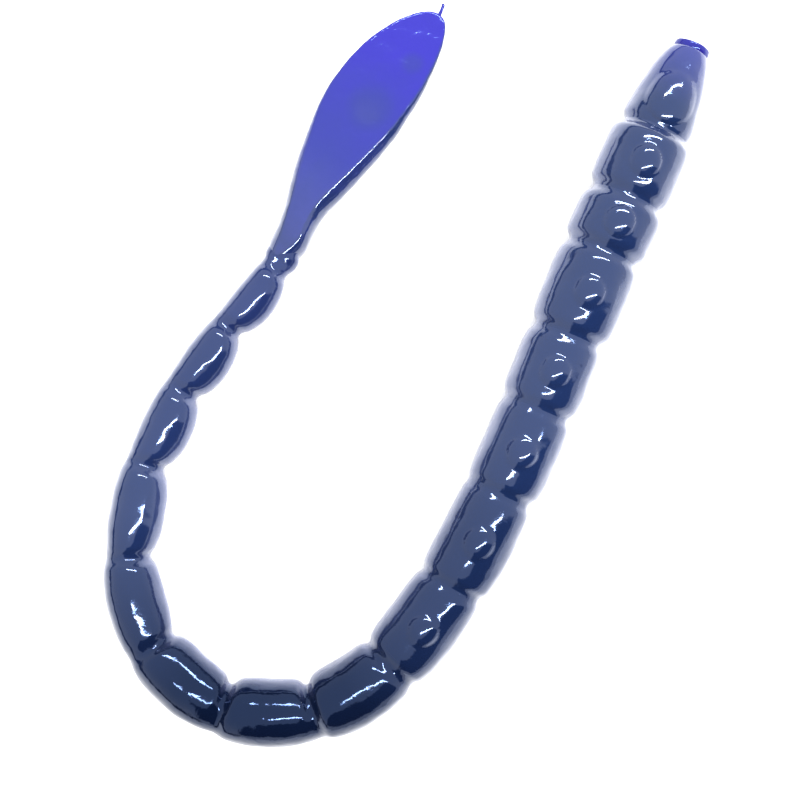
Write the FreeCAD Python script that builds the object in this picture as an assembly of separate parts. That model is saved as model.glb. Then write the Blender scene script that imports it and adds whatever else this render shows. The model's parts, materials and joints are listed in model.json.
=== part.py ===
import FreeCAD, Part
import math
import os
from collections import namedtuple

# A soft plastic worm for fishing, lying on its belly in a U.
# Millimetres and degrees. +Z is up, the ground is Z = 0, and the origin is on
# the ground under the middle of the worm's bounding box. Headings are counted
# anticlockwise from +X, and a turn to the left is positive.

Vector = FreeCAD.Vector
UP = Vector(0, 0, 1)
FORWARD = Vector(1, 0, 0)

# ---- driving dimensions --------------------------------------------------

NOSE_TIP = (34.45, 39.4)    # the flat of the nose, on the ground plan
NOSE_HEADING = -114.0       # from the nose towards the tail
GROOVE = 1.2                # gap between two neighbouring pillows
SHOULDER = 1.3              # round along each end of a pillow
BELLY_FLAT = 0.25           # depth of the flat that a pillow lies on
PADDLE_FLAT = 0.15          # depth of the flat under the paddle
WEB_GAP = 0.15              # clearance between a web and the cup it turns in
WEB_LATITUDE = 22.0         # a web is the zone of a ball out to this latitude

# One pillow of the body: its length from groove to groove, its diameter, its
# turn, the diameter of the web behind it, how far each way that web swings in
# its cups, and the radius of the pillow's top button.
Pillow = namedtuple("Pillow", "name length diameter turn web swing button")
PILLOWS = [
    Pillow("nose", 10.6, 9.0, 0, 8.2, 12, 0),
    Pillow("segment_02", 8.9, 10.5, 0, 8.8, 12, 1.9),
    Pillow("segment_03", 7.0, 10.5, 0, 8.7, 12, 1.9),
    Pillow("segment_04", 10.7, 10.4, 2, 8.6, 12, 1.9),
    Pillow("segment_05", 9.5, 10.0, -1, 8.4, 12, 1.9),
    Pillow("segment_06", 11.0, 9.8, -2, 8.2, 12, 1.9),
    Pillow("segment_07", 12.4, 9.6, -5, 7.9, 12, 1.9),
    Pillow("segment_08", 12.0, 9.4, -14, 7.4, 12, 1.9),
    Pillow("segment_09", 10.9, 9.1, -28, 6.8, 12, 0),
    Pillow("segment_10", 11.4, 8.6, -39, 6.4, 12, 0),
    Pillow("segment_11", 11.5, 8.1, -39, 6.2, 12, 0),
    Pillow("segment_12", 11.4, 7.5, -31, 5.6, 16, 0),
    Pillow("segment_13", 11.5, 7.0, -19, 4.9, 16, 0),
    Pillow("segment_14", 9.9, 6.5, -12, 4.6, 16, 0),
    Pillow("segment_15", 9.5, 6.1, -7, 4.0, 16, 0),
    Pillow("segment_16", 9.0, 5.5, 0, 3.8, 16, 0),
    Pillow("tail_knuckle", 3.2, 4.7, 6, 3.3, 20, 0),
]

BUTTON_HEIGHT = 0.3         # of a top button above the pillow's crown
BUTTON_ROUND = 0.25

NOSE_FACE_RADIUS = 2.1      # the flat cut where the mould's gate was
NOSE_MIDDLE = (3.8, 3.6)    # distance from the tip, and radius there
NOSE_FULL = 8.4             # distance from the tip to the full radius
GATE_RADIUS = 2.3
GATE_LENGTH = 1.0
GATE_ROUND = 0.2

# The paddle's sections: distance from the web behind the knuckle, half width,
# how far the middle lies to the left of the paddle's straight line, thickness.
Section = namedtuple("Section", "reach half_width offset thickness")
PADDLE_HEADING = -302.0
PADDLE = [
    Section(0.75, 2.15, 0.1, 3.7),
    Section(3.0, 2.3, 0.6, 2.9),
    Section(5.6, 2.75, 1.0, 2.4),
    Section(9.5, 3.9, 1.15, 2.2),
    Section(14.0, 4.9, 1.1, 2.1),
    Section(19.0, 5.35, 1.0, 2.1),
    Section(23.5, 5.15, 0.75, 2.0),
    Section(27.5, 4.25, 0.3, 1.8),
    Section(30.6, 2.95, -0.1, 1.5),
    Section(32.5, 1.3, -0.3, 1.0),
]

TIP_VENT_RADIUS = 0.28      # the thread of plastic from the mould's air vent
TIP_VENT_LENGTH = 1.3
OVERLAP = 1.0               # how far joined shapes run into each other


# ---- layout --------------------------------------------------------------

Station = namedtuple("Station", "x y heading")


def next_station(start, pillow):
    """The groove behind a pillow that starts at the given station."""
    turn = math.radians(pillow.turn)
    chord = pillow.length
    if pillow.turn:
        chord = 2 * pillow.length / turn * math.sin(turn / 2)
    middle = math.radians(start.heading) + turn / 2
    return Station(
        start.x + chord * math.cos(middle),
        start.y + chord * math.sin(middle),
        start.heading + pillow.turn,
    )


def lay_out():
    """Where each pillow starts, and last the groove behind the knuckle."""
    stations = [Station(NOSE_TIP[0], NOSE_TIP[1], NOSE_HEADING)]
    for pillow in PILLOWS:
        stations.append(next_station(stations[-1], pillow))
    return stations


def axis_height(pillow):
    return pillow.diameter / 2 - BELLY_FLAT


def web_heights():
    """Height of each web: midway between the pillows it joins."""
    heights = [axis_height(pillow) for pillow in PILLOWS]
    heights.append(PADDLE[0].thickness / 2 - PADDLE_FLAT)
    return [(before + after) / 2 for before, after in zip(heights, heights[1:])]


def placed(shape, station):
    """A shape built forwards along +X from the origin, put at a station."""
    turned = shape.copy()
    turned.Placement = FreeCAD.Placement(
        Vector(station.x, station.y, 0), FreeCAD.Rotation(UP, station.heading)
    )
    return turned


# ---- pieces --------------------------------------------------------------


def above_ground(shape):
    reach = 200.0
    below = Part.makeBox(
        2 * reach, 2 * reach, reach, Vector(-reach, -reach, -reach)
    )
    return shape.cut(below)


def ball_zone(diameter, centre, heading, latitude):
    """The zone of a ball between two latitudes, about a level axis."""
    axis = Vector(math.cos(math.radians(heading)), math.sin(math.radians(heading)), 0)
    return Part.makeSphere(diameter / 2, centre, axis, -latitude, latitude, 360)


def cup(owner, centre, heading):
    """The room that the web behind the owner needs in the pillows it joins."""
    slack = math.degrees(2 * WEB_GAP / owner.web)
    latitude = WEB_LATITUDE + owner.swing + slack
    return ball_zone(owner.web + 2 * WEB_GAP, centre, heading, latitude)


def end_circles(shape, radius):
    """The full circles of a radius that bound a shape's flat ends."""
    return [
        edge
        for edge in shape.Edges
        if isinstance(edge.Curve, Part.Circle)
        and abs(edge.Curve.Radius - radius) < 1e-6
        and abs(edge.Curve.Axis.z) < 0.5
    ]


def barrel(pillow):
    """The round bar of one pillow along its arc, with shouldered ends."""
    radius = pillow.diameter / 2
    centre = Vector(0, 0, axis_height(pillow))
    disc = Part.Face(Part.Wire(Part.makeCircle(radius, centre, FORWARD)))
    solid_length = pillow.length - GROOVE
    if pillow.turn:
        hub = Vector(0, pillow.length / math.radians(pillow.turn), 0)
        lead_in = pillow.turn * GROOVE / 2 / pillow.length
        disc.rotate(hub, UP, lead_in)
        bar = disc.revolve(hub, UP, pillow.turn - 2 * lead_in)
    else:
        disc.translate(FORWARD * (GROOVE / 2))
        bar = disc.extrude(FORWARD * solid_length)
    shoulder = min(SHOULDER, solid_length * 0.4)
    return bar.makeFillet(shoulder, end_circles(bar, radius))


def nose_bullet(pillow):
    """The nose: a blunt bullet with a flat tip and a shouldered rear end."""
    radius = pillow.diameter / 2
    height = axis_height(pillow)
    rear = pillow.length - GROOVE / 2

    def at(distance, off_axis):
        return Vector(distance, 0, height + off_axis)

    bevel = SHOULDER * (1 - math.sqrt(0.5))
    profile = Part.Wire([
        Part.makeLine(at(0, 0), at(0, NOSE_FACE_RADIUS)),
        Part.Arc(
            at(0, NOSE_FACE_RADIUS), at(*NOSE_MIDDLE), at(NOSE_FULL, radius)
        ).toShape(),
        Part.makeLine(at(NOSE_FULL, radius), at(rear - SHOULDER, radius)),
        Part.Arc(
            at(rear - SHOULDER, radius),
            at(rear - bevel, radius - bevel),
            at(rear, radius - SHOULDER),
        ).toShape(),
        Part.makeLine(at(rear, radius - SHOULDER), at(rear, 0)),
        Part.makeLine(at(rear, 0), at(0, 0)),
    ])
    return Part.Face(profile).revolve(at(0, 0), FORWARD, 360)


def button(pillow):
    """The low round button on the crown, over the middle of the pillow."""
    middle = next_station(
        Station(0, 0, 0), pillow._replace(length=pillow.length / 2, turn=pillow.turn / 2)
    )
    foot = Vector(middle.x, middle.y, pillow.diameter - BELLY_FLAT - OVERLAP)
    stub = Part.makeCylinder(pillow.button, OVERLAP + BUTTON_HEIGHT, foot)
    top_edge = [edge for edge in stub.Edges if edge.CenterOfMass.z > foot.z + OVERLAP
                and isinstance(edge.Curve, Part.Circle)]
    return stub.makeFillet(BUTTON_ROUND, top_edge)


def make_pillow(index, stations, heights):
    """One pillow with the cups that its neighbouring webs turn in."""
    pillow = PILLOWS[index]
    start = Station(0, 0, 0)
    rear = next_station(start, pillow)
    if index == 0:
        solid = nose_bullet(pillow)
    else:
        solid = barrel(pillow)
        front_groove = Vector(0, 0, heights[index - 1])
        solid = solid.cut(cup(PILLOWS[index - 1], front_groove, start.heading))
    rear_groove = Vector(rear.x, rear.y, heights[index])
    solid = solid.cut(cup(pillow, rear_groove, rear.heading))
    if pillow.button:
        solid = solid.fuse(button(pillow)).removeSplitter()
    return placed(above_ground(solid), stations[index])


def make_web(index, stations, heights):
    """The waist of plastic in a groove, round so that the bend turns on it."""
    groove = stations[index + 1]
    centre = Vector(groove.x, groove.y, heights[index])
    return ball_zone(PILLOWS[index].web, centre, groove.heading, WEB_LATITUDE)


def make_gate(stations):
    """The collar left on the flat of the nose where the mould was filled."""
    centre = Vector(-GATE_LENGTH, 0, axis_height(PILLOWS[0]))
    collar = Part.makeCylinder(GATE_RADIUS, GATE_LENGTH, centre, FORWARD)
    rims = [edge for edge in collar.Edges if isinstance(edge.Curve, Part.Circle)]
    return placed(collar.makeFillet(GATE_ROUND, rims), stations[0])


def section_centre(section):
    return Vector(section.reach, section.offset, section.thickness / 2 - PADDLE_FLAT)


def paddle_section(section):
    """A flattened oval across the paddle, its lowest part in the ground."""
    centre = section_centre(section)
    oval = Part.Ellipse(
        centre + Vector(0, section.half_width, 0),
        centre + Vector(0, 0, section.thickness / 2),
        centre,
    )
    return Part.Wire(oval.toShape())


def make_paddle(stations, heights):
    """The flat leaf of the tail, from its thick stem to its thin tip."""
    leaf = Part.makeLoft([paddle_section(section) for section in PADDLE], True)
    socket = cup(PILLOWS[-1], Vector(0, 0, heights[-1]), 0)
    root = stations[-1]._replace(heading=PADDLE_HEADING)
    return placed(above_ground(leaf.cut(socket)), root)


def make_tip_vent(stations):
    """The thread at the paddle's tip, flush with the paddle's end."""
    thread = Part.makeCylinder(
        TIP_VENT_RADIUS, TIP_VENT_LENGTH, section_centre(PADDLE[-1]), FORWARD
    )
    return placed(thread, stations[-1]._replace(heading=PADDLE_HEADING))


def build():
    """Every piece of the worm by name, from the nose to the tail."""
    stations = lay_out()
    heights = web_heights()
    pieces = {"nose_gate": make_gate(stations)}
    for index, pillow in enumerate(PILLOWS):
        pieces[pillow.name] = make_pillow(index, stations, heights)
        pieces[f"web_{index + 1:02d}"] = make_web(index, stations, heights)
    pieces["tail_paddle"] = make_paddle(stations, heights)
    pieces["tip_vent"] = make_tip_vent(stations)
    return pieces


def main():
    os.makedirs("parts", exist_ok=True)
    pieces = build()
    for name, shape in pieces.items():
        if not shape.isValid() or len(shape.Solids) != 1:
            raise ValueError(f"{name} is not one valid solid")
        shape.exportStep(f"parts/{name}.step")
    box = Part.makeCompound(list(pieces.values())).BoundBox
    print(f"{len(pieces)} pieces, box {box}")


if __name__ == "__main__":
    main()
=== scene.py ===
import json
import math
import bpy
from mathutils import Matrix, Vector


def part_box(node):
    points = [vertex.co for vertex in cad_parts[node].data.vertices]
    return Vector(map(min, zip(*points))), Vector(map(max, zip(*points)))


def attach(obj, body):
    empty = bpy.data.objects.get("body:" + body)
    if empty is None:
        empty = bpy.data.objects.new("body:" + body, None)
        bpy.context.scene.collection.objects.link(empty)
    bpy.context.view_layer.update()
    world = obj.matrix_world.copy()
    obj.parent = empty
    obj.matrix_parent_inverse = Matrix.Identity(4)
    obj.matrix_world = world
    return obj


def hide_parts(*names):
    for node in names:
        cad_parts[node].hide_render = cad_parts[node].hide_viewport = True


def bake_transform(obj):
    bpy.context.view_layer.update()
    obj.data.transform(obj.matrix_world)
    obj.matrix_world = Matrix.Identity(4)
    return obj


bl_info = {
    "name": "Soft Plastic Worm",
    "version": (1, 0, 0),
    "blender": (4, 5, 0),
    "location": "View3D > Sidebar > Worm",
    "description": "Poured skin, paddle tail and stage for a ringed soft plastic worm",
    "category": "Add Mesh",
}

from collections import namedtuple

import bpy
from bpy.props import FloatProperty, FloatVectorProperty, IntProperty, PointerProperty
from mathutils import Matrix, Vector

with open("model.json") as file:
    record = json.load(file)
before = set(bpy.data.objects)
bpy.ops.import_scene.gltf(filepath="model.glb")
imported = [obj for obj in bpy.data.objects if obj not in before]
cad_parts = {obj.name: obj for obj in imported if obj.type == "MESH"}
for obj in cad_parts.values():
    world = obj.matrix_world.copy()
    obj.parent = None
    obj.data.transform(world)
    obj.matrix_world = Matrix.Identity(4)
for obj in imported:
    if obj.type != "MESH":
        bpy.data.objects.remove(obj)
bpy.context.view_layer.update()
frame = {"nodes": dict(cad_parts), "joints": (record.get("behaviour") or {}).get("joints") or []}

MM = 0.001
UP = Vector((0, 0, 1))
JOINTS = {joint["name"]: joint for joint in frame["joints"]}
GROOVE_COUNT = sum(name.startswith("web_") for name in frame["nodes"])

# ---- the shape of each pillow ---------------------------------------------

# An oval across a piece that is built along +X: its centre and half sizes.
Ring = namedtuple("Ring", "x y z half_width half_height")

# Seen from above and looking from the nose to the tail: how far the pillow
# bulges to the left and to the right of the line through the grooves, in
# millimetres, and how boxy its outline is. Where the worm is bent, its outer
# side lies smooth and only the inner side bulges. The last two columns are
# shares: how much painted shade darkens it there, and how violet it is.
Bulge = namedtuple("Bulge", "left right boxiness gloom violet")
BULGES = {
    "segment_02": Bulge(4.95, 5.10, 6.0, 0.0, 0.0),
    "segment_03": Bulge(5.15, 5.10, 5.0, 0.0, 0.0),
    "segment_04": Bulge(5.15, 4.95, 6.0, 0.0, 0.0),
    "segment_05": Bulge(4.85, 4.80, 5.5, 0.0, 0.0),
    "segment_06": Bulge(4.85, 4.45, 6.0, 0.05, 0.0),
    "segment_07": Bulge(4.75, 4.40, 6.0, 0.4, 0.0),
    "segment_08": Bulge(4.40, 4.50, 5.5, 0.5, 0.0),
    "segment_09": Bulge(4.15, 4.50, 5.0, 0.95, 0.0),
    "segment_10": Bulge(3.55, 4.60, 4.5, 1.0, 0.0),
    "segment_11": Bulge(3.40, 4.40, 4.0, 1.0, 0.0),
    "segment_12": Bulge(3.15, 3.95, 3.8, 0.5, 0.0),
    "segment_13": Bulge(2.75, 3.95, 3.0, 0.0, 0.03),
    "segment_14": Bulge(2.40, 3.80, 2.5, 0.0, 0.07),
    "segment_15": Bulge(2.20, 3.60, 2.4, 0.08, 0.1),
    "segment_16": Bulge(1.95, 3.25, 2.2, 0.0, 0.18),
    "tail_knuckle": Bulge(2.25, 2.05, 2.4, 0.25, 0.25),
}
PILLOWS = list(BULGES)
BUTTONED = PILLOWS[:7]       # those that carry a round button on the crown

RING_FACES = 32              # faces around a pillow before it is subdivided
SHOULDER_STATIONS = (0.0, 0.3, 0.6, 0.95, 1.4)      # millimetres from each groove
MIDDLE_STATIONS = 5
TONGUE = ((0.6, 0.86), (0.3, 0.985))   # reach past the groove in mm, share of its radius
SHOULDER = 1.5 * MM          # from the bottom of a groove up to the pillow
SIDE_SHOULDER = 1.2 * MM
CROWN_FALL = 0.4             # how much of its rise a crown loses towards its ends
WAIST_PINCH = 0.12 * MM      # the skin lies this much inside the round of a groove
CORE_SHARE = 0.93            # size of the core that runs on inside a groove
BELLY_SINK = 0.25 * MM       # pressed flat by the ground
CUT_TOLERANCE = 0.0001 * MM  # points this near to a cutting plane count as on it

# The nose behind its collar: distance back from the flat as a share of its
# length, left and right half widths in millimetres.
NOSE_RINGS = (
    (0.0, 2.0, 2.05),
    (0.03, 2.25, 2.4),
    (0.12, 2.65, 2.95),
    (0.28, 3.2, 3.5),
    (0.45, 3.65, 3.9),
    (0.62, 3.95, 4.2),
    (0.76, 4.2, 4.4),
    (0.86, 4.3, 4.5),
    (0.92, 4.28, 4.45),
)

# Behind them it narrows to the first groove: the same share, then the radius as
# a share of the groove's.
NOSE_NECK = ((0.965, 1.025), (0.985, 1.008), (1.0, 1.0))
Hump = namedtuple("Hump", "along aside radius rise")
NOSE_HUMP = Hump(0.62, -0.1 * MM, 3.3 * MM, 0.45 * MM)   # along is a share of its length
NOSE_VIOLET = 0.95           # how violet the nose is at its flat
NOSE_VIOLET_REACH = 0.75     # the share of its length over which that would fade by 1

# The collar in front of the flat: distance as a share of its depth, half width
# and half height as shares of its radius. Its root lies inside the nose, with
# distances in millimetres.
COLLAR_DISH = (
    (-0.75, 0.6, 0.6),
    (-0.8, 0.8, 0.8),
    (-1.0, 0.86, 0.84),
    (-0.85, 0.95, 0.93),
    (-0.4, 0.97, 0.95),
)
COLLAR_ROOT = ((0.2, 0.98, 0.93), (0.6, 0.9, 0.8), (0.8, 0.6, 0.5))
# The collar's own darker tint, given through the same mask that paints shade on the pillows.
COLLAR_DARK_TINT = 0.35
COLLAR_VIOLET = 0.9

# The core under a groove: distance in millimetres, share of its full radius.
CORE_RINGS = ((-1.1, 0.7), (-0.9, 0.92), (-0.4, 1), (0.4, 1), (0.9, 0.92), (1.1, 0.7))

# The paddle from the web behind the knuckle to its tip: distance, left and
# right half widths and thickness, in millimetres.
Leaf = namedtuple("Leaf", "reach left right thickness")
LEAF_RINGS = (
    Leaf(-3.0, 1.3, 0.5, 4.0),
    Leaf(-2.5, 2.0, 0.9, 5.2),
    Leaf(-1.3, 2.5, 1.4, 5.7),
    Leaf(0.0, 2.65, 1.85, 5.8),
    Leaf(0.9, 2.75, 1.9, 5.8),
    Leaf(1.8, 2.9, 1.75, 5.9),
    Leaf(3.2, 3.25, 1.5, 5.6),
    Leaf(5.0, 3.8, 1.45, 5.2),
    Leaf(7.0, 4.5, 1.75, 5.0),
    Leaf(9.5, 5.15, 2.35, 4.9),
    Leaf(13.0, 5.95, 3.1, 4.8),
    Leaf(16.5, 6.5, 3.65, 4.7),
    Leaf(20.5, 6.75, 3.85, 4.6),
    Leaf(24.5, 6.25, 3.8, 4.4),
    Leaf(28.0, 5.2, 3.4, 4.1),
    Leaf(31.0, 3.8, 2.7, 3.5),
    Leaf(33.0, 2.3, 1.9, 2.9),
    Leaf(34.1, 0.9, 0.9, 2.0),
)
# Darker round smudges on it: distance, offset to its left and radius.
SMUDGES = ((27.0, -0.7, 1.3), (19.5, 0.8, 2.6))
LEAF_SINK = 1.0 * MM         # how far the middle of its rings lies over the ground
LEAF_TOP = 2.3 * MM          # height of its flat top half way along
LEAF_PITCH = -4.6            # degrees that the flat falls towards the tip
LEAF_HEADING = 58.0          # degrees from +X
LEAF_MIDDLE = 17 * MM        # where its top has the height above
LEAF_GRAIN = 0.13 * MM       # size of the faces it is rebuilt from once it is cut
EDGE_ROUNDS = 24             # smoothing steps that round the edge of the cut
VIOLET_REACH = 30 * MM       # the paddle is at its most violet this far along
KNUCKLE_CROWN = 3.75 * MM    # the knuckle lies no higher than the stem that laps over it

# The thread at the tip, in millimetres, from a place inside the paddle.
THREAD_START = (33.4, -0.3)  # along the paddle and to its left
THREAD_RINGS = (
    Ring(0, 0, 0.7, 0.34, 0.3),
    Ring(0.4, 0.02, 0.7, 0.26, 0.26),
    Ring(0.9, 0.06, 0.74, 0.22, 0.22),
    Ring(1.5, 0.16, 0.85, 0.2, 0.2),
    Ring(1.8, 0.24, 0.93, 0.26, 0.24),
    Ring(1.95, 0.28, 0.96, 0.14, 0.14),
)
THREAD_FACES = 12
THREAD_VIOLET = 0.8


# ---- settings a user would change ------------------------------------------


class WormShape(bpy.types.PropertyGroup):
    """Sizes of the moulded details"""

    button_radius: FloatProperty(
        name="Button radius", description="Radius of the round button on a crown",
        default=1.9 * MM, unit="LENGTH",
    )
    button_rise: FloatProperty(
        name="Button rise", description="Height of a button over its crown",
        default=0.5 * MM, unit="LENGTH",
    )
    lump_size: FloatProperty(
        name="Lump size", description="Spacing of the slow unevenness of the skin",
        default=4.5 * MM, unit="LENGTH",
    )
    lump_depth: FloatProperty(
        name="Lump depth", description="Depth of the slow unevenness of the skin",
        default=0.22 * MM, unit="LENGTH",
    )
    ripple_size: FloatProperty(
        name="Ripple size", description="Spacing of the small ripples of the skin",
        default=1.1 * MM, unit="LENGTH",
    )
    ripple_depth: FloatProperty(
        name="Ripple depth", description="Depth of the small ripples of the skin",
        default=0.05 * MM, unit="LENGTH",
    )
    leaf_tilt: FloatProperty(
        name="Paddle tilt", description="How far the paddle leans to its left",
        default=math.radians(4.0), subtype="ANGLE",
    )


class WormColours(bpy.types.PropertyGroup):
    """Colours of the plastic"""

    deep: FloatVectorProperty(
        name="Deep", description="The body seen through its full depth",
        default=(0.0055, 0.0135, 0.051), subtype="COLOR", size=3,
    )
    # Painted light: the paler colour painted down the body's sides, standing in for light from the
    # white sheet shining up through them.
    flank: FloatVectorProperty(
        name="Flank", description="The body where the sheet under it lights its sides",
        default=(0.078, 0.09, 0.175), subtype="COLOR", size=3,
    )
    leaf: FloatVectorProperty(
        name="Leaf", description="The paddle, thin enough to glow",
        default=(0.021, 0.0145, 0.225), subtype="COLOR", size=3,
    )
    leaf_shade: FloatVectorProperty(
        name="Leaf shade", description="The paddle where it is thicker or lies wet",
        default=(0.020, 0.025, 0.135), subtype="COLOR", size=3,
    )
    paper: FloatVectorProperty(
        name="Paper", description="The sheet that the worm lies on",
        default=(0.93, 0.93, 0.93), subtype="COLOR", size=3,
    )


class WormStage(bpy.types.PropertyGroup):
    """The studio around the worm"""

    camera_height: FloatProperty(
        name="Camera height", description="Height of the camera over the sheet",
        default=0.17, unit="LENGTH",
    )
    field_width: FloatProperty(
        name="Field width", description="Width of the view at the worm's middle height",
        default=0.096, unit="LENGTH",
    )
    sky_strength: FloatProperty(
        name="Sky strength", description="Brightness of the white tent", default=1.6, min=0,
    )
    lamp_radiance: FloatProperty(
        name="Lamp radiance", description="Brightness of the two small lamps", default=80, min=0,
    )
    subdivisions: IntProperty(
        name="Subdivisions", description="Smoothing levels of each piece", default=2, min=1, max=3,
    )


def settings():
    scene = bpy.context.scene
    return scene.worm_shape, scene.worm_colours, scene.worm_stage


# ---- the frame's grooves ----------------------------------------------------

Groove = namedtuple("Groove", "place heading radius")


def groove(number):
    """Centre, direction of travel and waist radius of one ring groove."""
    place = Vector(JOINTS[f"bend_{number:02d}"]["pos_m"])
    side = Vector(JOINTS[f"lift_{number:02d}"]["axis"])
    ahead = Vector((side.y, -side.x, 0))
    if number < GROOVE_COUNT:
        beyond = Vector(JOINTS[f"bend_{number + 1:02d}"]["pos_m"])
    else:
        beyond = sum(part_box("tail_paddle"), Vector()) / 2
    if ahead.dot(beyond - place) < 0:
        ahead.negate()
    low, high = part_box(f"web_{number:02d}")
    return Groove(place, math.atan2(ahead.y, ahead.x), (high.z - low.z) / 2)


def wrapped(angle):
    return (angle + math.pi) % (2 * math.pi) - math.pi


# ---- modelling steps --------------------------------------------------------

def ring_between(x, left, right, bottom, top):
    """The oval that spans these sides, at a distance along the piece."""
    return Ring(x, (left - right) / 2, (bottom + top) / 2, (left + right) / 2, (top - bottom) / 2)


def select_only(piece):
    bpy.ops.object.select_all(action="DESELECT")
    piece.select_set(True)
    bpy.context.view_layer.objects.active = piece


def start_disc(name, ring, faces):
    """A filled circle across the piece's axis, scaled to its first ring."""
    bpy.ops.object.select_all(action="DESELECT")
    bpy.ops.mesh.primitive_circle_add(
        vertices=faces, radius=1, fill_type="NGON",
        location=(ring.x, ring.y, ring.z), rotation=(0, math.pi / 2, 0),
    )
    piece = bpy.context.object
    piece.name = name
    piece.data.name = name
    piece.scale = (ring.half_height, ring.half_width, 1)
    bpy.ops.object.transform_apply(location=True, rotation=True, scale=True)
    return piece


def extrude_rings(piece, rings):
    """Extrudes the piece's end face from ring to ring, resizing it at each."""
    bpy.ops.object.mode_set(mode="EDIT")
    bpy.ops.mesh.select_all(action="SELECT")
    for last, ring in zip(rings, rings[1:]):
        step = (ring.x - last.x, ring.y - last.y, ring.z - last.z)
        bpy.ops.mesh.extrude_region_move(TRANSFORM_OT_translate={"value": step})
        bpy.ops.transform.resize(
            value=(1, ring.half_width / last.half_width, ring.half_height / last.half_height),
            center_override=(ring.x, ring.y, ring.z),
        )
    bpy.ops.mesh.select_all(action="SELECT")
    bpy.ops.mesh.normals_make_consistent(inside=False)
    bpy.ops.object.mode_set(mode="OBJECT")


def apply_modifier(piece, kind, **values):
    select_only(piece)
    modifier = piece.modifiers.new(kind.title(), kind)
    for key, value in values.items():
        setattr(modifier, key, value)
    bpy.ops.object.modifier_apply(modifier=modifier.name)


def subdivide(piece, levels):
    apply_modifier(piece, "SUBSURF", levels=levels, render_levels=levels)


def raise_button(piece, x, y, radius, rise):
    """Lifts a round patch of the crown over the given place."""
    select_only(piece)
    bpy.ops.object.mode_set(mode="EDIT")
    bpy.ops.mesh.select_all(action="DESELECT")
    bpy.ops.object.mode_set(mode="OBJECT")
    near = [v for v in piece.data.vertices if math.hypot(v.co.x - x, v.co.y - y) < 0.4 * MM]
    max(near, key=lambda v: v.co.z).select = True
    bpy.ops.object.mode_set(mode="EDIT")
    bpy.ops.transform.translate(
        value=(0, 0, rise), use_proportional_edit=True, use_proportional_connected=True,
        proportional_edit_falloff="SPHERE", proportional_size=radius,
    )
    bpy.ops.object.mode_set(mode="OBJECT")


def curve_round(piece, length, turn):
    """Bends a straight piece evenly; only its stretch from 0 to length counts."""
    if abs(turn) < math.radians(0.2):
        return
    reach = [v.co.x for v in piece.data.vertices]
    whole = turn * (max(reach) - min(reach)) / length
    apply_modifier(piece, "SIMPLE_DEFORM", deform_method="BEND", deform_axis="Z", angle=whole)


def put_at(piece, place, heading):
    """Moves a piece that was built along +X to its place on the ground plan."""
    select_only(piece)
    piece.rotation_euler = (0, 0, heading)
    piece.location = (place.x, place.y, 0)
    bpy.ops.object.transform_apply(location=True, rotation=True, scale=True)


def clouds(name, size):
    texture = bpy.data.textures.get(name) or bpy.data.textures.new(name, "CLOUDS")
    texture.noise_scale = size
    texture.noise_depth = 1
    return texture


def roughen(piece):
    """The slow lumps and small ripples that a poured skin has."""
    shape, _, _ = settings()
    for name, size, depth in (
        ("Lumps", shape.lump_size, shape.lump_depth),
        ("Ripples", shape.ripple_size, shape.ripple_depth),
    ):
        apply_modifier(
            piece, "DISPLACE", texture=clouds(name, size), texture_coords="LOCAL",
            strength=depth, mid_level=0.5,
        )


def flatten_belly(piece):
    """Cuts the piece off level with the ground and closes the cut."""
    select_only(piece)
    bpy.ops.object.mode_set(mode="EDIT")
    bpy.ops.mesh.select_all(action="SELECT")
    bpy.ops.mesh.bisect(
        plane_co=(0, 0, 0), plane_no=(0, 0, 1), use_fill=True, clear_inner=True,
        threshold=CUT_TOLERANCE,
    )
    bpy.ops.object.mode_set(mode="OBJECT")


def paint(piece, name, value_at):
    """Stores a value on each point of the skin for its material to read."""
    layer = piece.data.attributes.new(name, "FLOAT", "POINT")
    layer.data.foreach_set("value", [value_at(v) for v in piece.data.vertices])


def flank_at(vertex):
    """0 where the skin faces straight up, 1 where it stands upright."""
    return 1 - vertex.normal.z


def painted_edge_shade_at(vertex):
    """Painted shade: darkness put on the upright skin that faces the dark left side of the studio."""
    upright = min(1, max(0, 1.5 - abs(vertex.normal.z) / 0.18))
    return 0.45 * upright * min(1, max(0, -vertex.normal.x) * 2)


def nothing_at(vertex):
    return 0.0


def finish_skin(piece, material, shade_and_tint_at=nothing_at, violet_at=nothing_at):
    flatten_belly(piece)
    # Painted light and shade go into these masks: the flank mask pales the sides, the edge mask paints
    # shade on upright skin facing left, and the third paints shade over the bend and gives the collar
    # its darker tint.
    paint(piece, "flank", flank_at)
    paint(piece, "edge", painted_edge_shade_at)
    paint(piece, "gloom", shade_and_tint_at)
    paint(piece, "violet", violet_at)
    select_only(piece)
    bpy.ops.object.shade_smooth_by_angle(angle=math.radians(55))
    piece.data.materials.clear()
    piece.data.materials.append(material)


# ---- materials ----------------------------------------------------------------


def link(tree, source, target):
    tree.links.new(source, target)


def add_node(tree, kind, **values):
    node = tree.nodes.new(kind)
    for key, value in values.items():
        setattr(node, key, value)
    return node


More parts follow.
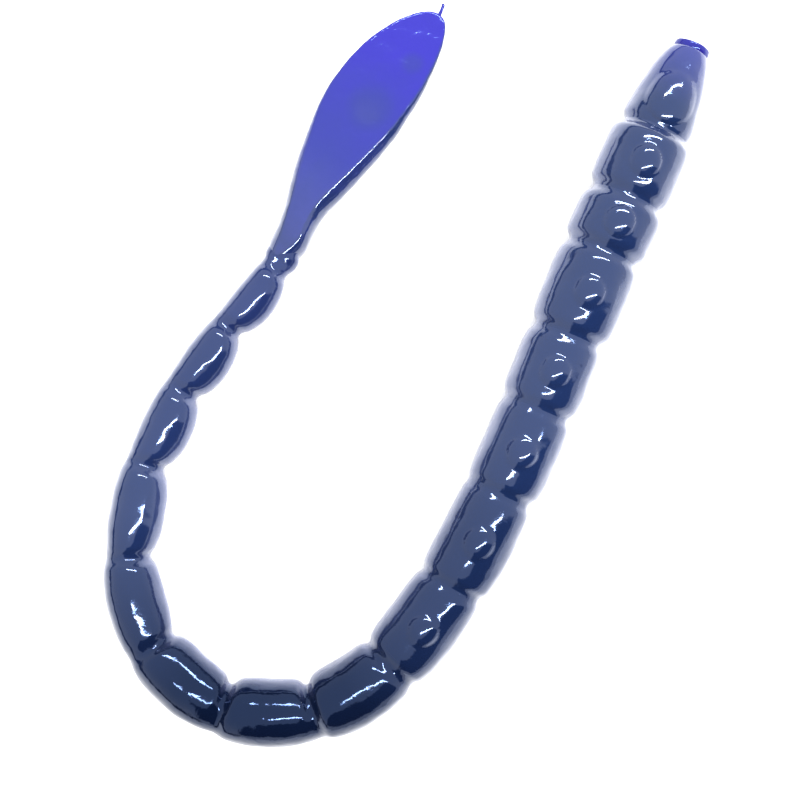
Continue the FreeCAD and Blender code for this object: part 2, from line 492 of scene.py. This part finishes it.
def poured_skin_group():
    """Cloudy pigment, fine flow ripples and smears, shared by every plastic."""
    if "Poured Skin" in bpy.data.node_groups:
        return bpy.data.node_groups["Poured Skin"]
    tree = bpy.data.node_groups.new("Poured Skin", "ShaderNodeTree")
    inputs = (("Cloud Scale", 240.0), ("Ripple Scale", 900.0), ("Smear Scale", 420.0))
    for name, value in inputs:
        socket = tree.interface.new_socket(name, in_out="INPUT", socket_type="NodeSocketFloat")
        socket.default_value = value
    for name in ("Cloud", "Ripple", "Smear"):
        tree.interface.new_socket(name, in_out="OUTPUT", socket_type="NodeSocketFloat")
    source = add_node(tree, "NodeGroupInput")
    result = add_node(tree, "NodeGroupOutput")
    place = add_node(tree, "ShaderNodeTexCoord")
    for name, detail, distortion in (("Cloud", 3.0, 0.4), ("Ripple", 2.0, 0.8), ("Smear", 4.0, 1.2)):
        noise = add_node(tree, "ShaderNodeTexNoise")
        noise.inputs["Detail"].default_value = detail
        noise.inputs["Distortion"].default_value = distortion
        link(tree, place.outputs["Object"], noise.inputs["Vector"])
        link(tree, source.outputs[f"{name} Scale"], noise.inputs["Scale"])
        link(tree, noise.outputs["Fac"], result.inputs[name])
    return tree


def new_plastic(name):
    """A material with its shader and the poured skin group beside it."""
    material = bpy.data.materials.new(name)
    material.use_nodes = True
    tree = material.node_tree
    shader = tree.nodes["Principled BSDF"]
    skin = add_node(tree, "ShaderNodeGroup", node_tree=poured_skin_group())
    bump = add_node(tree, "ShaderNodeBump")
    bump.inputs["Strength"].default_value = 0.5
    bump.inputs["Distance"].default_value = 0.06 * MM
    link(tree, skin.outputs["Ripple"], bump.inputs["Height"])
    link(tree, bump.outputs["Normal"], shader.inputs["Normal"])
    gloss = add_node(tree, "ShaderNodeMapRange")
    gloss.inputs["From Min"].default_value = 0.35
    gloss.inputs["From Max"].default_value = 0.75
    gloss.inputs["To Min"].default_value = 0.05
    gloss.inputs["To Max"].default_value = 0.13
    link(tree, skin.outputs["Smear"], gloss.inputs["Value"])
    link(tree, gloss.outputs["Result"], shader.inputs["Roughness"])
    shader.inputs["IOR"].default_value = 1.6
    shader.inputs["Specular IOR Level"].default_value = 0.38
    shader.inputs["Specular Tint"].default_value = (0.30, 0.47, 0.96, 1)
    shader.inputs["Coat Roughness"].default_value = 0.06
    shader.inputs["Coat IOR"].default_value = 1.5
    return material, tree, shader, skin


def ramp(tree, stops):
    node = add_node(tree, "ShaderNodeValToRGB")
    elements = node.color_ramp.elements
    while len(elements) < len(stops):
        elements.new(0.5)
    for element, (position, colour) in zip(elements, stops):
        element.position = position
        element.color = (*colour, 1)
    return node


def mixed(first, second, share):
    return tuple(a + (b - a) * share for a, b in zip(first, second))


def blended(tree, factor, first, second):
    """A colour mix; each end is a socket or a fixed colour."""
    node = add_node(tree, "ShaderNodeMix", data_type="RGBA")
    link(tree, factor, node.inputs["Factor"])
    for socket, value in ((node.inputs["A"], first), (node.inputs["B"], second)):
        if isinstance(value, tuple):
            socket.default_value = (*value, 1)
        else:
            link(tree, value, socket)
    return node.outputs["Result"]


def attribute(tree, name):
    return add_node(tree, "ShaderNodeAttribute", attribute_name=name).outputs["Fac"]


def plus_cloud(tree, value, cloud, amount):
    """The value, pushed up and down by the cloudy pigment."""
    scaled = add_node(tree, "ShaderNodeMath", operation="MULTIPLY_ADD")
    scaled.inputs[1].default_value = amount
    scaled.inputs[2].default_value = -amount / 2
    link(tree, cloud, scaled.inputs[0])
    total = add_node(tree, "ShaderNodeMath", operation="ADD")
    link(tree, value, total.inputs[0])
    link(tree, scaled.outputs["Value"], total.inputs[1])
    return total.outputs["Value"]


def product(tree, first, second):
    node = add_node(tree, "ShaderNodeMath", operation="MULTIPLY")
    link(tree, first, node.inputs[0])
    link(tree, second, node.inputs[1])
    return node.outputs["Value"]


def window(tree, value, low, high, softness):
    """1 between two limits and 0 outside them, with soft edges."""
    edges = []
    for limit, sign in ((low, 1), (high, -1)):
        edge = add_node(tree, "ShaderNodeMapRange", interpolation_type="SMOOTHSTEP")
        edge.inputs["From Min"].default_value = limit - sign * softness
        edge.inputs["From Max"].default_value = limit + sign * softness
        link(tree, value, edge.inputs["Value"])
        edges.append(edge.outputs["Result"])
    return product(tree, *edges)


def body_colour(tree, skin):
    """Deep navy where it is thick and faces up, painted paler and more violet down its flanks as
    painted light from the sheet under it.
    """
    _, colours, _ = settings()
    deep, pale, leaf = tuple(colours.deep), tuple(colours.flank), tuple(colours.leaf_shade)
    depth = plus_cloud(tree, attribute(tree, "flank"), skin.outputs["Cloud"], 0.16)
    tint = ramp(tree, (
        (0.0, deep),
        (0.2, mixed(deep, pale, 0.015)),
        (0.32, mixed(deep, pale, 0.09)),
        (0.5, mixed(deep, pale, 0.42)),
        (0.85, pale),
    ))
    link(tree, depth, tint.inputs["Fac"])
    violet = blended(tree, attribute(tree, "violet"), tint.outputs["Color"], leaf)
    return dimmed(tree, violet)


def dimmed(tree, colour):
    """Darkens with painted shade over the bend and along its left edges; the same mask also darkens
    the collar to its own deeper tint.
    """
    _, colours, _ = settings()
    dark = mixed(tuple(colours.deep), (0, 0, 0), 0.75)
    gloomy = blended(tree, attribute(tree, "gloom"), colour, dark)
    return blended(tree, attribute(tree, "edge"), gloomy, dark)


def coat_level(tree, bright, gloomy):
    """The strength of the wet coat, weaker where shade is painted and none at the painted dark edge.
    """
    veil = add_node(tree, "ShaderNodeMapRange")
    veil.inputs["To Min"].default_value = bright
    veil.inputs["To Max"].default_value = gloomy
    link(tree, attribute(tree, "gloom"), veil.inputs["Value"])
    clear = add_node(tree, "ShaderNodeMath", operation="SUBTRACT")
    clear.inputs[0].default_value = 1.0
    link(tree, attribute(tree, "edge"), clear.inputs[1])
    rim = add_node(tree, "ShaderNodeMapRange", interpolation_type="SMOOTHSTEP")
    rim.inputs["From Min"].default_value = 0.45
    rim.inputs["To Min"].default_value = 1.0
    rim.inputs["To Max"].default_value = 0.04
    link(tree, attribute(tree, "flank"), rim.inputs["Value"])
    sheen = product(tree, veil.outputs["Result"], clear.outputs["Value"])
    return product(tree, sheen, rim.outputs["Result"])


def body_plastic():
    if "Body plastic" in bpy.data.materials:
        return bpy.data.materials["Body plastic"]
    material, tree, shader, skin = new_plastic("Body plastic")
    link(tree, body_colour(tree, skin), shader.inputs["Base Color"])
    link(tree, coat_level(tree, 0.64, 0.03), shader.inputs["Coat Weight"])
    return material


def leaf_plastic():
    """Vivid blue violet with cloudy darker patches and painted shade along its edges."""
    if "Leaf plastic" in bpy.data.materials:
        return bpy.data.materials["Leaf plastic"]
    _, colours, _ = settings()
    material, tree, shader, skin = new_plastic("Leaf plastic")
    leaf, shade, deep = tuple(colours.leaf), tuple(colours.leaf_shade), tuple(colours.deep)
    pour = plus_cloud(tree, attribute(tree, "violet"), skin.outputs["Cloud"], 0.3)
    tint = ramp(tree, (
        (0.0, mixed(deep, shade, 0.2)),
        (0.12, mixed(deep, shade, 0.7)),
        (0.25, shade),
        (0.6, mixed(shade, leaf, 0.4)),
        (0.98, leaf),
    ))
    link(tree, pour, tint.inputs["Fac"])
    link(tree, dimmed(tree, tint.outputs["Color"]), shader.inputs["Base Color"])
    wet = add_node(tree, "ShaderNodeMapRange")
    wet.inputs["From Max"].default_value = 0.45
    wet.inputs["To Min"].default_value = 0.9
    wet.inputs["To Max"].default_value = 0.1
    link(tree, attribute(tree, "violet"), wet.inputs["Value"])
    link(tree, wet.outputs["Result"], shader.inputs["Coat Weight"])
    return material


def paper():
    material = bpy.data.materials.new("Paper")
    material.use_nodes = True
    shader = material.node_tree.nodes["Principled BSDF"]
    _, colours, _ = settings()
    shader.inputs["Base Color"].default_value = (*colours.paper, 1)
    shader.inputs["Roughness"].default_value = 0.9
    shader.inputs["Specular IOR Level"].default_value = 0.1
    return material


# ---- pieces -------------------------------------------------------------------


def eased(distance, reach):
    """From 0 in the bottom of a groove to 1 at a shoulder this far away."""
    share = min(distance / reach, 1)
    return 1 - (1 - share ** 1.6) ** 2


def crown_rise(along, length):
    """How far a pillow's top has risen from its groove, 0 to 1."""
    fall = CROWN_FALL * (1 - 2 * along / length) ** 2
    return eased(min(along, length - along), SHOULDER) * (1 - fall)


def side_rise(along, length, boxiness):
    """How far a pillow's side has swelled from its groove, 0 to 1."""
    swell = 1 - abs(1 - 2 * along / length) ** boxiness
    return eased(min(along, length - along), SIDE_SHOULDER) * swell


def tongue_rings(waist, x_of):
    """The hidden plug that runs on past a groove into the next pillow."""
    rings = []
    for reach, share in TONGUE:
        radius = (waist.radius - WAIST_PINCH) * share
        rings.append(Ring(x_of(reach * MM), 0, waist.place.z, radius, radius))
    return rings


def stations(length):
    """Distances from the front groove at which a pillow has a ring."""
    front = [reach * MM for reach in SHOULDER_STATIONS if reach * MM < length * 0.4]
    gap = length - 2 * front[-1]
    middle = [front[-1] + gap * step / (MIDDLE_STATIONS + 1) for step in range(1, MIDDLE_STATIONS + 1)]
    return [*front, *middle, *(length - reach for reach in reversed(front))]


def pillow_rings(bulge, crown, front, rear, length):
    """Every ring of a straight pillow, from its front plug to its rear one."""
    rings = tongue_rings(front, lambda reach: -reach)
    for along in stations(length):
        waist = front if along < length / 2 else rear
        radius = waist.radius - WAIST_PINCH
        side = side_rise(along, length, bulge.boxiness)
        top = crown_rise(along, length)
        low, high = waist.place.z - radius, waist.place.z + radius
        rings.append(ring_between(
            along,
            radius + (bulge.left * MM - radius) * side,
            radius + (bulge.right * MM - radius) * side,
            low + (-BELLY_SINK - low) * top,
            high + (crown - high) * top,
        ))
    rings += reversed(tongue_rings(rear, lambda reach: length + reach))
    return rings


def arc_length(front, rear):
    """Length and turn of the arc that joins two grooves."""
    turn = wrapped(rear.heading - front.heading)
    chord = (rear.place - front.place).to_2d().length
    if abs(turn) < math.radians(0.2):
        return chord, turn
    return chord * turn / 2 / math.sin(turn / 2), turn


def claim(piece, node):
    """Bakes the piece's place into its mesh and hides the part it stands in for."""
    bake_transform(piece)
    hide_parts(node)


def painted_shade_between(name, front, rear):
    """The painted shade over a pillow, easing into its neighbours' and fading down its flanks."""
    index = PILLOWS.index(name)
    own = BULGES[name].gloom
    before = (own + BULGES[PILLOWS[max(index - 1, 0)]].gloom) / 2
    after = (own + BULGES[PILLOWS[min(index + 1, len(PILLOWS) - 1)]].gloom) / 2
    way = rear.place - front.place

    def shade_and_tint_at(vertex):
        share = min(max((vertex.co - front.place).dot(way) / way.length_squared, 0), 1)
        along = before + (own - before) * 2 * share
        if share > 0.5:
            along = own + (after - own) * (2 * share - 1)
        return along * min(1, max(0, 1.6 - 1.5 * flank_at(vertex)))

    return shade_and_tint_at


def make_pillow(name, number):
    """One pillow between two grooves, with its button where it has one."""
    shape, _, stage = settings()
    front, rear = groove(number - 1), groove(number)
    length, turn = arc_length(front, rear)
    has_button = name in BUTTONED
    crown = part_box(name)[1].z - (shape.button_rise if has_button else 0)
    if name == "tail_knuckle":
        crown = min(crown, KNUCKLE_CROWN)
    bulge = BULGES[name]
    rings = pillow_rings(bulge, crown, front, rear, length)
    piece = start_disc(f"{name}_skin", rings[0], RING_FACES)
    extrude_rings(piece, rings)
    subdivide(piece, stage.subdivisions)
    if has_button:
        middle = (bulge.left - bulge.right) / 2 * MM
        raise_button(piece, length / 2, middle, shape.button_radius, shape.button_rise)
    curve_round(piece, length, turn)
    put_at(piece, front.place, front.heading)
    roughen(piece)
    finish_skin(piece, body_plastic(), painted_shade_between(name, front, rear), lambda vertex: bulge.violet)
    claim(piece, name)
    return piece


def make_core(number):
    """The plug of plastic under a groove, which shows when the groove opens."""
    _, _, stage = settings()
    waist = groove(number)
    full = (waist.radius - WAIST_PINCH) * CORE_SHARE
    rings = [
        Ring(x * MM, 0, waist.place.z, full * share, full * share)
        for x, share in CORE_RINGS
    ]
    piece = start_disc(f"groove_core_{number:02d}", rings[0], RING_FACES)
    extrude_rings(piece, rings)
    subdivide(piece, stage.subdivisions)
    put_at(piece, waist.place, waist.heading)
    finish_skin(piece, body_plastic())
    node = f"web_{number:02d}"
    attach(piece, node)
    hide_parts(node)
    return piece


def nose_start(rear):
    """The middle of the nose's flat and its length to the first groove."""
    low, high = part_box("nose_gate")
    collar = (low + high) / 2
    ahead = Vector((math.cos(rear.heading), math.sin(rear.heading), 0))
    collar_length = collar_depth(rear.heading)
    length = (rear.place - collar).dot(ahead) - collar_length / 2
    return rear.place - ahead * length, length


def collar_depth(heading):
    """Thickness of the collar, worked out from its box, which it fills slantwise."""
    low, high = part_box("nose_gate")
    size = high - low
    radius = size.z / 2
    slant = abs(math.cos(heading))
    across = abs(math.sin(heading))
    return (size.x - 2 * radius * across) / slant


def make_nose():
    """The blunt bullet in front of the first groove."""
    _, _, stage = settings()
    rear = groove(1)
    start, length = nose_start(rear)
    axis = rear.place.z
    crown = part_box("nose")[1].z
    middle = (crown - BELLY_SINK) / 2
    full = max(left for _, left, _ in NOSE_RINGS)
    rings = []
    for share, left, right in NOSE_RINGS:
        spread = left / full
        top = middle + (crown - middle) * spread
        bottom = middle - (middle + BELLY_SINK) * spread
        rings.append(ring_between(share * length, left * MM, right * MM, bottom, top))
    radius = rear.radius - WAIST_PINCH
    for share, spread in NOSE_NECK:
        wide = radius * spread
        rings.append(ring_between(share * length, wide, wide, axis - wide, axis + wide))
    rings += reversed(tongue_rings(rear, lambda reach: length + reach))
    piece = start_disc("nose_skin", rings[0], RING_FACES)
    extrude_rings(piece, rings)
    subdivide(piece, stage.subdivisions)
    hump = NOSE_HUMP
    raise_button(piece, length * hump.along, hump.aside, hump.radius, hump.rise)
    put_at(piece, start, rear.heading)
    ahead = (rear.place - start).normalized()

    def violet_at(vertex):
        return max(0, NOSE_VIOLET - (vertex.co - start).dot(ahead) / (length * NOSE_VIOLET_REACH))

    roughen(piece)
    finish_skin(piece, body_plastic(), violet_at=violet_at)
    claim(piece, "nose")
    return piece


def make_collar():
    """The violet collar on the flat of the nose, dished where the gate tore."""
    _, _, stage = settings()
    rear = groove(1)
    start, _ = nose_start(rear)
    depth = collar_depth(rear.heading)
    low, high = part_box("nose_gate")
    radius = (high.z - low.z) / 2
    axis = (low.z + high.z) / 2
    rings = [
        Ring(share * depth, 0, axis, radius * wide, radius * tall)
        for share, wide, tall in COLLAR_DISH
    ]
    rings += [
        Ring(behind * MM, 0, axis, radius * wide, radius * tall)
        for behind, wide, tall in COLLAR_ROOT
    ]
    piece = start_disc("nose_collar", rings[0], RING_FACES)
    extrude_rings(piece, rings)
    subdivide(piece, stage.subdivisions)
    put_at(piece, start, rear.heading)
    roughen(piece)
    finish_skin(piece, leaf_plastic(), lambda vertex: COLLAR_DARK_TINT, lambda vertex: COLLAR_VIOLET)
    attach(piece, "nose")
    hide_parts("nose_gate")
    return piece


def slice_top(piece, centre, normal):
    """Cuts off all that lies over a plane and rounds the edge of the cut."""
    select_only(piece)
    bpy.ops.object.mode_set(mode="EDIT")
    bpy.ops.mesh.select_all(action="SELECT")
    bpy.ops.mesh.bisect(
        plane_co=centre, plane_no=normal, use_fill=True, clear_outer=True,
        threshold=CUT_TOLERANCE,
    )
    bpy.ops.object.mode_set(mode="OBJECT")
    apply_modifier(piece, "REMESH", mode="VOXEL", voxel_size=LEAF_GRAIN)
    apply_modifier(piece, "SMOOTH", factor=0.5, iterations=EDGE_ROUNDS)


def leaf_directions():
    heading = math.radians(LEAF_HEADING)
    ahead = Vector((math.cos(heading), math.sin(heading), 0))
    return heading, ahead, Vector((-ahead.y, ahead.x, 0))


def make_leaf():
    """The flat paddle, tilted a little so that its right edge stands thicker."""
    shape, _, stage = settings()
    root = groove(GROOVE_COUNT)
    heading, ahead, aside = leaf_directions()
    rings = []
    for leaf in LEAF_RINGS:
        half = leaf.thickness / 2 * MM
        rings.append(ring_between(
            leaf.reach * MM, leaf.left * MM, leaf.right * MM, LEAF_SINK - half, LEAF_SINK + half,
        ))
    piece = start_disc("paddle_leaf", rings[0], RING_FACES)
    extrude_rings(piece, rings)
    subdivide(piece, stage.subdivisions)
    put_at(piece, root.place, heading)
    centre = root.place + ahead * LEAF_MIDDLE
    centre.z = LEAF_TOP
    pitch = math.tan(math.radians(LEAF_PITCH))
    slice_top(piece, centre, UP + aside * math.tan(shape.leaf_tilt) - ahead * pitch)

    smudges = [
        (root.place + (ahead * reach + aside * offset) * MM, size * MM)
        for reach, offset, size in SMUDGES
    ]

    def violet_at(vertex):
        reach = (vertex.co - root.place).dot(ahead) / VIOLET_REACH
        lean = vertex.normal.dot(aside)
        violet_with_shade = max(0, reach) + 0.04
        # Painted shade: skin that leans to the right is pulled towards the dark end, a band that
        # stands partly for the thick edge's own deeper colour and partly for painted shade; skin that
        # leans far to the left is darkened a little as painted shade too.
        violet_with_shade -= 1.4 * max(0, -lean - 0.02)
        violet_with_shade -= 0.5 * max(0, lean - 0.3)
        for place, size in smudges:
            away = (vertex.co - place).to_2d().length / size
            violet_with_shade -= 0.3 * math.exp(-away ** 4)
        return min(1, max(0, violet_with_shade))

    roughen(piece)
    finish_skin(piece, leaf_plastic(), violet_at=violet_at)
    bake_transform(piece)
    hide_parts("tail_paddle")
    return piece


def make_vent():
    """The short thread at the paddle's tip, a little curled and tapered."""
    _, _, stage = settings()
    root = groove(GROOVE_COUNT)
    heading, ahead, aside = leaf_directions()
    rings = [Ring(*(size * MM for size in ring)) for ring in THREAD_RINGS]
    along, left = THREAD_START
    piece = start_disc("tip_thread", rings[0], THREAD_FACES)
    extrude_rings(piece, rings)
    subdivide(piece, stage.subdivisions)
    put_at(piece, root.place + (ahead * along + aside * left) * MM, heading)
    finish_skin(piece, leaf_plastic(), violet_at=lambda vertex: THREAD_VIOLET)
    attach(piece, "tail_paddle")
    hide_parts("tip_vent")
    return piece


# ---- operators ------------------------------------------------------------------


class WORM_OT_nose(bpy.types.Operator):
    """Model the nose and its collar"""

    bl_idname = "worm.nose"
    bl_label = "Nose"

    def execute(self, context):
        make_nose()
        make_collar()
        return {"FINISHED"}


class WORM_OT_pillows(bpy.types.Operator):
    """Model the ringed pillows of the body"""

    bl_idname = "worm.pillows"
    bl_label = "Pillows"

    def execute(self, context):
        for number, name in enumerate(BULGES, start=2):
            make_pillow(name, number)
        return {"FINISHED"}


class WORM_OT_paddle(bpy.types.Operator):
    """Model the paddle tail and the thread at its tip"""

    bl_idname = "worm.paddle"
    bl_label = "Paddle"

    def execute(self, context):
        make_leaf()
        make_vent()
        return {"FINISHED"}


class WORM_OT_cores(bpy.types.Operator):
    """Model the core of plastic that runs on through each groove"""

    bl_idname = "worm.cores"
    bl_label = "Cores"

    def execute(self, context):
        for number in range(1, GROOVE_COUNT + 1):
            make_core(number)
        return {"FINISHED"}


class WORM_OT_stage(bpy.types.Operator):
    """Lay the sheet, hang the lamps and set up the camera"""

    bl_idname = "worm.stage"
    bl_label = "Stage"

    def execute(self, context):
        lay_paper()
        light_tent()
        for name, tilt in LAMP_TILTS:
            hang_lamp(name, math.radians(tilt))
        set_camera(context.scene)
        return {"FINISHED"}


# ---- stage ------------------------------------------------------------------------

VIEW_CENTRE = Vector((-0.42, -2.41, 0)) * MM
MIDDLE_HEIGHT = 4.5 * MM
LAMP_DISTANCE = 1.2
LAMP_SIZE = (1.0, 0.07)
LAMP_ASIDE = 0.27
LAMP_TILTS = (("Far lamp", 42), ("Near lamp", -12))   # degrees from straight up
DARK_AZIMUTH = -65.0         # the dark opening of the tent, in degrees
DARK_SPREAD = 47.0
DARK_LOW = 12.0
DARK_HIGH = 60.0
WALL_AZIMUTH = 150.0         # the low dark wall across from it
WALL_SPREAD = 100.0
WALL_HIGH = 8.0
BACKDROP = (0.5, 0.5, 0.52)  # what the eye sees behind the sheet


def lay_paper():
    bpy.ops.object.select_all(action="DESELECT")
    bpy.ops.mesh.primitive_plane_add(size=4)
    sheet = bpy.context.object
    sheet.name = "paper_sheet"
    sheet.data.materials.append(paper())


def toward(tree, direction, azimuth):
    """The cosine of the angle between a level direction and an azimuth in degrees."""
    node = add_node(tree, "ShaderNodeVectorMath", operation="DOT_PRODUCT")
    angle = math.radians(azimuth)
    node.inputs[1].default_value = (math.cos(angle), math.sin(angle), 0)
    link(tree, direction, node.inputs[0])
    return node.outputs["Value"]


def light_tent():
    """A white tent with a dark opening and a low dark wall, where the room shows."""
    _, _, stage = settings()
    world = bpy.data.worlds.new("Tent")
    bpy.context.scene.world = world
    world.use_nodes = True
    tree = world.node_tree
    background = tree.nodes["Background"]
    place = add_node(tree, "ShaderNodeTexCoord")
    split = add_node(tree, "ShaderNodeSeparateXYZ")
    link(tree, place.outputs["Generated"], split.inputs["Vector"])
    level = add_node(tree, "ShaderNodeVectorMath", operation="MULTIPLY")
    level.inputs[1].default_value = (1, 1, 0)
    link(tree, place.outputs["Generated"], level.inputs[0])
    unit = add_node(tree, "ShaderNodeVectorMath", operation="NORMALIZE")
    link(tree, level.outputs["Vector"], unit.inputs[0])
    around = toward(tree, unit.outputs["Vector"], DARK_AZIMUTH)
    low, high = math.sin(math.radians(DARK_LOW)), math.sin(math.radians(DARK_HIGH))
    height = window(tree, split.outputs["Z"], low, high, 0.012)
    spread = window(tree, around, math.cos(math.radians(DARK_SPREAD)), 2, 0.03)
    horizon = window(tree, split.outputs["Z"], -0.02, math.sin(math.radians(WALL_HIGH)), 0.012)
    behind = toward(tree, unit.outputs["Vector"], WALL_AZIMUTH)
    wall = window(tree, behind, math.cos(math.radians(WALL_SPREAD)), 2, 0.1)
    dark = add_node(tree, "ShaderNodeMath", operation="MAXIMUM")
    link(tree, product(tree, height, spread), dark.inputs[0])
    link(tree, product(tree, horizon, wall), dark.inputs[1])
    tint = ramp(tree, ((0.0, (1, 1, 1)), (1.0, (0.03, 0.03, 0.04))))
    link(tree, dark.outputs["Value"], tint.inputs["Fac"])
    sight = add_node(tree, "ShaderNodeLightPath")
    shown = blended(tree, sight.outputs["Is Camera Ray"], tint.outputs["Color"], BACKDROP)
    link(tree, shown, background.inputs["Color"])
    background.inputs["Strength"].default_value = stage.sky_strength


def hang_lamp(name, tilt):
    _, _, stage = settings()
    place = Vector((LAMP_ASIDE, math.sin(tilt), math.cos(tilt))) * LAMP_DISTANCE
    bpy.ops.object.light_add(type="AREA", location=place)
    lamp = bpy.context.object
    lamp.name = name
    back = place.normalized()
    across = (Vector((1, 0, 0)) - back * back.x).normalized()
    lamp.rotation_euler = Matrix((across, back.cross(across), back)).transposed().to_euler()
    lamp.data.shape = "RECTANGLE"
    lamp.data.size, lamp.data.size_y = LAMP_SIZE
    lamp.data.energy = stage.lamp_radiance * math.pi * LAMP_SIZE[0] * LAMP_SIZE[1]


def set_camera(scene):
    _, _, stage = settings()
    place = VIEW_CENTRE + UP * stage.camera_height
    bpy.ops.object.camera_add(location=place, rotation=(0, 0, 0))
    camera = bpy.context.object
    camera.name = "Overhead camera"
    distance = stage.camera_height - MIDDLE_HEIGHT
    camera.data.lens = camera.data.sensor_width * distance / stage.field_width
    camera.data.clip_start = 0.01
    scene.camera = camera
    scene.view_settings.view_transform = "Standard"


# ---- panel --------------------------------------------------------------------------


class WORM_PT_panel(bpy.types.Panel):
    """Shows the worm's settings and the buttons that build its pieces"""

    bl_idname = "WORM_PT_panel"
    bl_label = "Soft Plastic Worm"
    bl_space_type = "VIEW_3D"
    bl_region_type = "UI"
    bl_category = "Worm"

    def draw(self, context):
        for group in settings():
            box = self.layout.box()
            for name in group.bl_rna.properties.keys():
                if name not in {"rna_type", "name"}:
                    box.prop(group, name)
        for operator in OPERATORS:
            self.layout.operator(operator.bl_idname)


OPERATORS = (WORM_OT_stage, WORM_OT_nose, WORM_OT_pillows, WORM_OT_cores, WORM_OT_paddle)
GROUPS = (WormShape, WormColours, WormStage)


def register():
    for cls in (*GROUPS, *OPERATORS, WORM_PT_panel):
        bpy.utils.register_class(cls)
    bpy.types.Scene.worm_shape = PointerProperty(type=WormShape)
    bpy.types.Scene.worm_colours = PointerProperty(type=WormColours)
    bpy.types.Scene.worm_stage = PointerProperty(type=WormStage)


def unregister():
    del bpy.types.Scene.worm_stage
    del bpy.types.Scene.worm_colours
    del bpy.types.Scene.worm_shape
    for cls in reversed((*GROUPS, *OPERATORS, WORM_PT_panel)):
        bpy.utils.unregister_class(cls)


def main():
    register()
    bpy.ops.worm.stage()
    bpy.ops.worm.nose()
    bpy.ops.worm.pillows()
    bpy.ops.worm.cores()
    bpy.ops.worm.paddle()


if __name__ == "__main__":
    main()
